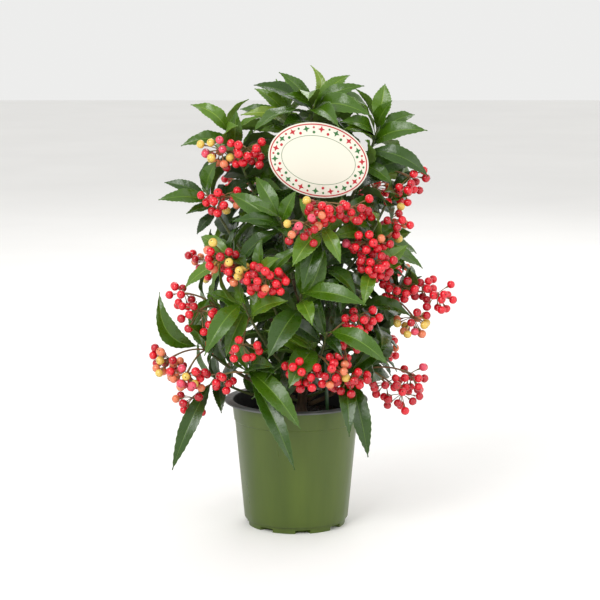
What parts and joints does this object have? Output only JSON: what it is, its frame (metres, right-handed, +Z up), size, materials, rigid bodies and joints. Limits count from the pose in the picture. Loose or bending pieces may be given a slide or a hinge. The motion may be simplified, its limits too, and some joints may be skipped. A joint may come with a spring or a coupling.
{
  "type": "potted coral ardisia",
  "caption": "Bushy evergreen berried shrub in a round tapered nursery pot of peat, with an oval name card on a pick; stands on the pot's flat underside.",
  "frame": {"origin": "centre of the pot's flat underside", "axes": "+Z up along the plant, -Y towards the front that shows the card, +X to the right seen from the front"},
  "size_m": [0.2649, 0.2291, 0.415],
  "materials": {
    "pot_plastic": "satin olive-green moulded polypropylene with a grey rim",
    "peat": "dark crumbly potting peat",
    "bark": "smooth brown-green young bark",
    "foliage": "glossy evergreen leaves with red berries",
    "card": "glossy white printed card",
    "pick": "plain green plastic"
  },
  "bodies": {
    "root": {"pot": "pot_plastic", "soil": "peat", "trunk": "bark", "bough_leader_left": "bark", "bough_left_shoulder": "bark", "bough_right_shoulder": "bark", "bough_left_arm": "bark", "bough_front_left": "bark", "bough_front_high": "bark", "bough_right_high": "bark", "bough_left_mid": "bark", "bough_right_mid": "bark", "bough_far_right": "bark", "bough_far_left": "bark", "bough_far_right_low": "bark", "bough_back_high": "bark", "bough_back_left_high": "bark", "bough_back_right_high": "bark", "bough_back_mid": "bark", "bough_back_left_mid": "bark", "bough_back_right_mid": "bark", "bough_back_low": "bark", "bough_back_left_low": "bark", "bough_back_right_low": "bark", "foliage_leader": "foliage", "foliage_leader_left": "foliage", "foliage_left_shoulder": "foliage", "foliage_right_shoulder": "foliage", "foliage_right_neck": "foliage", "foliage_left_arm": "foliage", "foliage_right_arm": "foliage", "foliage_front_left": "foliage", "foliage_front_high": "foliage", "foliage_right_high": "foliage", "foliage_left_mid": "foliage", "foliage_front_left_mid": "foliage", "foliage_right_mid": "foliage", "foliage_far_right": "foliage", "foliage_front_centre": "foliage", "foliage_front_right_low": "foliage", "foliage_front_low": "foliage", "foliage_front_left_low": "foliage", "foliage_left_low_mid": "foliage", "foliage_far_left": "foliage", "foliage_low_left": "foliage", "foliage_over_rim": "foliage", "foliage_low_right": "foliage", "foliage_far_right_low": "foliage", "foliage_back_high": "foliage", "foliage_back_left_high": "foliage", "foliage_back_right_high": "foliage", "foliage_back_mid": "foliage", "foliage_back_left_mid": "foliage", "foliage_back_right_mid": "foliage", "foliage_back_low": "foliage", "foliage_back_left_low": "foliage", "foliage_back_right_low": "foliage", "card": "card", "card_pick": "pick"}
  },
  "joints": []
}
